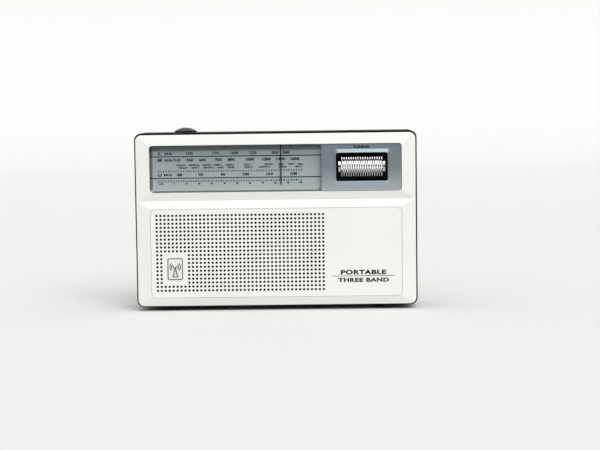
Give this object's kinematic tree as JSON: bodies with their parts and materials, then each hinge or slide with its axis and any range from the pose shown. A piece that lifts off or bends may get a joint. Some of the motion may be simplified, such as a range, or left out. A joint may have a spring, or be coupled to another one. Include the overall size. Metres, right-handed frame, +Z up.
{
  "type": "transistor radio",
  "caption": "Portable three-band radio: white bevelled front, perforated grille, lit dial with a sliding pointer, ribbed tuning roller, top volume knob and folding telescopic antenna.",
  "frame": {"origin": "on the floor below the middle of the case", "axes": "+X to the radio's right as seen from the front, +Y into the depth (the front faces -Y), +Z up"},
  "size_m": [0.2136, 0.052, 0.1392],
  "materials": {
    "aluminium": "bright",
    "bezel_metallic": "metallic grey paint",
    "black_plastic": "fine grain",
    "board": "phenolic laminate",
    "brass": "drawn",
    "cell_label": "printed sleeve",
    "chrome": "polished plating",
    "clear_plastic": "clear moulded acrylic",
    "cloth": "woven",
    "cone_paper": "pulp",
    "copper_coil": "litz winding on paper",
    "cord": "braided",
    "dial_print": "silk-screened silver grey",
    "ferrite": "sintered",
    "grey_plastic": "moulded",
    "panel_paint": "fine satin paint",
    "rubber": "matt",
    "steel": "zinc plated",
    "white_plastic": "satin moulded"
  },
  "bodies": {
    "case": {"aerial_coils": "copper_coil", "audio_chip": "black_plastic", "badge_plate": "aluminium", "band_switch": "grey_plastic", "battery_box": "black_plastic", "battery_cells": "cell_label", "board_screws": "steel", "case_screws": "steel", "chassis": "steel", "chassis_screws": "steel", "circuit_board": "board", "contact_plates": "steel", "contact_springs": "steel", "dc_inlet": "black_plastic", "dial_cord": "cord", "dial_lens": "clear_plastic", "dial_scale": "dial_print", "dust_cap": "cone_paper", "earphone_jack": "black_plastic", "electrolytics": "black_plastic", "ferrite_rod": "ferrite", "front_frame": "white_plastic", "grille_cloth": "cloth", "grille_panel": "panel_paint", "idler_posts": "brass", "if_cans": "aluminium", "pointer_rail": "steel", "rear_shell": "black_plastic", "resistors": "copper_coil", "rod_holders": "grey_plastic", "rubber_feet": "rubber", "speaker_basket": "steel", "speaker_clamps": "steel", "speaker_cone": "cone_paper", "speaker_magnet": "ferrite", "speaker_surround": "cloth", "transistors": "black_plastic", "tuning_bezel": "bezel_metallic", "tuning_capacitor": "grey_plastic", "volume_pot": "steel"},
    "tuning": {"tuning_knob": "chrome", "tuning_shaft": "steel"},
    "pointer": {"dial_pointer": "black_plastic", "pointer_carriage": "grey_plastic"},
    "drum": {"capacitor_drum": "grey_plastic"},
    "idler_a": {"idler_upper_left": "grey_plastic"},
    "idler_b": {"idler_upper_right": "grey_plastic"},
    "idler_c": {"idler_lower_right": "grey_plastic"},
    "volume": {"volume_knob": "chrome"},
    "band": {"band_slider": "black_plastic"},
    "door": {"battery_door": "black_plastic"},
    "antenna_turret": {"antenna_base": "chrome", "antenna_retainer": "steel", "antenna_pin": "steel"},
    "antenna_arm": {"antenna_knuckle": "chrome", "antenna_tube_1": "chrome"},
    "antenna_second": {"antenna_tube_2": "chrome"},
    "antenna_third": {"antenna_tube_3": "chrome"},
    "antenna_inner": {"antenna_rod": "chrome", "antenna_tip": "chrome"}
  },
  "joints": [
    {"name": "tuning_spin", "type": "hinge", "parent": "case", "child": "tuning", "pos_m": [0.0652, -0.0164, 0.1084], "axis": [1, 0, 0], "range_deg": [-156, 865]},
    {"name": "pointer_slide", "type": "slide", "parent": "case", "child": "pointer", "axis": [1, 0, 0], "range_m": [-0.0906, 0.0164]},
    {"name": "drum_turn", "type": "hinge", "parent": "case", "child": "drum", "pos_m": [-0.08, -0.0104, 0.104], "axis": [0, 1, 0], "range_deg": [-305.5, 55.5]},
    {"name": "idler_a_spin", "type": "hinge", "parent": "case", "child": "idler_a", "pos_m": [-0.096, -0.0104, 0.124], "axis": [0, 1, 0], "range_deg": [-1731, 313]},
    {"name": "idler_b_spin", "type": "hinge", "parent": "case", "child": "idler_b", "pos_m": [0.0385, -0.0104, 0.124], "axis": [0, 1, 0], "range_deg": [-1731, 313]},
    {"name": "idler_c_spin", "type": "hinge", "parent": "case", "child": "idler_c", "pos_m": [0.0385, -0.0104, 0.092], "axis": [0, 1, 0], "range_deg": [-1731, 313]},
    {"name": "volume_turn", "type": "hinge", "parent": "case", "child": "volume", "pos_m": [-0.0693, -0.001, 0.1354], "axis": [0, 0, -1], "range_deg": [0, 300]},
    {"name": "band_slide", "type": "slide", "parent": "case", "child": "band", "axis": [1, 0, 0], "range_m": [-0.005, 0.005]},
    {"name": "door_swing", "type": "hinge", "parent": "case", "child": "door", "pos_m": [0.045, 0.0246, 0.01], "axis": [-1, 0, 0], "range_deg": [0, 95]},
    {"name": "antenna_swivel", "type": "hinge", "parent": "case", "child": "antenna_turret", "pos_m": [-0.096, 0.0205, 0.1315], "axis": [0, 0, 1], "range_deg": [0, 180]},
    {"name": "antenna_tilt", "type": "hinge", "parent": "antenna_turret", "child": "antenna_arm", "pos_m": [-0.096, 0.0205, 0.1315], "axis": [0, -1, 0], "range_deg": [0, 90]},
    {"name": "antenna_extend_a", "type": "slide", "parent": "antenna_arm", "child": "antenna_second", "axis": [1, 0, 0], "range_m": [0, 0.16]},
    {"name": "antenna_extend_b", "type": "slide", "parent": "antenna_second", "child": "antenna_third", "axis": [1, 0, 0], "range_m": [0, 0.16]},
    {"name": "antenna_extend_c", "type": "slide", "parent": "antenna_third", "child": "antenna_inner", "axis": [1, 0, 0], "range_m": [0, 0.16]}
  ],
  "couplings": [
    {"joint": "pointer_slide", "follows": "tuning_spin", "m_per_rad": -0.006},
    {"joint": "drum_turn", "follows": "tuning_spin", "ratio": -0.35294},
    {"joint": "idler_a_spin", "follows": "tuning_spin", "ratio": -2},
    {"joint": "idler_b_spin", "follows": "tuning_spin", "ratio": -2},
    {"joint": "idler_c_spin", "follows": "tuning_spin", "ratio": -2}
  ]
}
